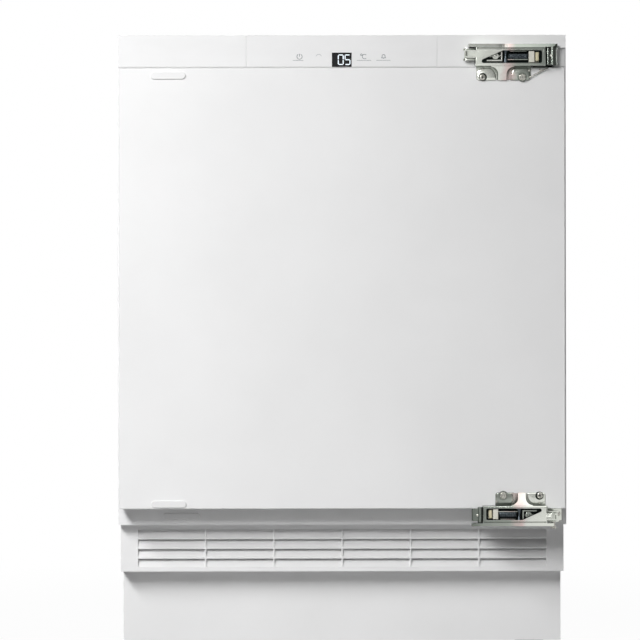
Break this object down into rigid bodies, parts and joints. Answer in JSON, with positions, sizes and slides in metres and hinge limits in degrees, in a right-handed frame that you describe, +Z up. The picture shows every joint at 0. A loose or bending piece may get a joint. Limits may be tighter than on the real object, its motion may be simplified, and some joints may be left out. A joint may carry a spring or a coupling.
{
  "type": "integrated undercounter freezer",
  "caption": "Built-in undercounter freezer cabinet with a side-hung door, drawers behind it, a touch control fascia, louvred vent grille, recessed plinth and adjustable feet.",
  "frame": {"origin": "on the floor, under the centre of the whole appliance's box, door and hinges included", "axes": "+Z up, +Y from the door to the back, +X to the right as seen from the front"},
  "size_m": [0.596, 0.566, 0.818],
  "materials": {
    "white_sheet_steel": "satin",
    "white_plastic": "satin",
    "liner_plastic": "gloss",
    "foam": "matte",
    "galvanised_steel": "satin",
    "plated_hinge_steel": "satin",
    "screw_steel": "gloss",
    "dark_glass": "gloss",
    "circuit_board": "satin",
    "gasket_vinyl": "matte",
    "hinge_plastic": "matte",
    "dark_steel": "satin",
    "black_enamel": "satin",
    "black_plastic": "matte",
    "black_rubber": "matte",
    "copper": "satin",
    "coated_wire": "satin",
    "drawer_plastic": "gloss",
    "grey_plastic": "matte"
  },
  "bodies": {
    "cabinet": {"side_panel_left": "white_sheet_steel", "side_panel_right": "white_sheet_steel", "top_panel": "white_sheet_steel", "back_panel": "galvanised_steel", "base_pan": "galvanised_steel", "upper_front_rail": "white_sheet_steel", "lower_front_rail": "white_sheet_steel", "insulation_foam": "foam", "inner_liner": "liner_plastic", "fascia_left": "white_plastic", "control_panel": "white_plastic", "fascia_right": "white_plastic", "display_window": "dark_glass", "control_board": "circuit_board", "vent_grille": "white_plastic", "plinth_panel": "white_sheet_steel", "rail_cover_cap": "white_plastic", "temperature_sensor": "white_plastic", "evaporator_shelf_lower": "coated_wire", "evaporator_shelf_upper": "coated_wire", "compressor": "black_enamel", "compressor_grommets": "black_rubber", "starter_box": "black_plastic", "drip_tray": "black_plastic", "condenser_tube": "black_enamel", "condenser_wires": "black_enamel", "condenser_clips": "grey_plastic", "discharge_pipe": "copper", "suction_pipe": "copper", "filter_drier": "copper", "capillary_tube": "copper", "mains_inlet": "black_plastic", "foot_sockets": "galvanised_steel", "upper_hinge_bracket": "plated_hinge_steel", "lower_hinge_bracket": "plated_hinge_steel", "bracket_screws": "screw_steel", "hinge_pins": "screw_steel"},
    "door": {"door_panel": "white_sheet_steel", "door_foam": "foam", "door_inner_liner": "liner_plastic", "door_gasket": "gasket_vinyl", "door_cover_caps": "white_plastic", "upper_hinge_frame": "plated_hinge_steel", "lower_hinge_frame": "plated_hinge_steel", "hinge_screws": "screw_steel", "hinge_springs": "dark_steel", "hinge_sliders": "hinge_plastic", "hinge_pivots": "dark_steel", "hinge_angle_plates": "plated_hinge_steel", "hinge_rivets": "screw_steel"},
    "lower_drawer": {"drawer_tub_lower": "drawer_plastic", "drawer_front_lower": "drawer_plastic"},
    "middle_drawer": {"drawer_tub_middle": "drawer_plastic", "drawer_front_middle": "drawer_plastic"},
    "upper_drawer": {"drawer_tub_upper": "drawer_plastic", "drawer_front_upper": "drawer_plastic"},
    "front_left_foot": {"foot_front_left": "grey_plastic"},
    "front_right_foot": {"foot_front_right": "grey_plastic"},
    "rear_left_foot": {"foot_rear_left": "grey_plastic"},
    "rear_right_foot": {"foot_rear_right": "grey_plastic"}
  },
  "joints": [
    {"name": "door_swing", "type": "hinge", "parent": "cabinet", "child": "door", "pos_m": [0.2763, -0.275, 0.48], "axis": [0, 0, 1], "range_deg": [0, 110]},
    {"name": "lower_drawer_slide", "type": "slide", "parent": "cabinet", "child": "lower_drawer", "axis": [0, -1, 0], "range_m": [0, 0.16]},
    {"name": "middle_drawer_slide", "type": "slide", "parent": "cabinet", "child": "middle_drawer", "axis": [0, -1, 0], "range_m": [0, 0.3]},
    {"name": "upper_drawer_slide", "type": "slide", "parent": "cabinet", "child": "upper_drawer", "axis": [0, -1, 0], "range_m": [0, 0.3]},
    {"name": "front_left_foot_screw", "type": "slide", "parent": "cabinet", "child": "front_left_foot", "axis": [0, 0, -1], "range_m": [0, 0.05]},
    {"name": "front_right_foot_screw", "type": "slide", "parent": "cabinet", "child": "front_right_foot", "axis": [0, 0, -1], "range_m": [0, 0.05]},
    {"name": "rear_left_foot_screw", "type": "slide", "parent": "cabinet", "child": "rear_left_foot", "axis": [0, 0, -1], "range_m": [0, 0.05]},
    {"name": "rear_right_foot_screw", "type": "slide", "parent": "cabinet", "child": "rear_right_foot", "axis": [0, 0, -1], "range_m": [0, 0.05]}
  ],
  "couplings": [
    {"joint": "lower_drawer_slide", "follows": "door_swing", "m_per_rad": 0.05},
    {"joint": "middle_drawer_slide", "follows": "door_swing", "m_per_rad": 0.05},
    {"joint": "upper_drawer_slide", "follows": "door_swing", "m_per_rad": 0.05}
  ]
}
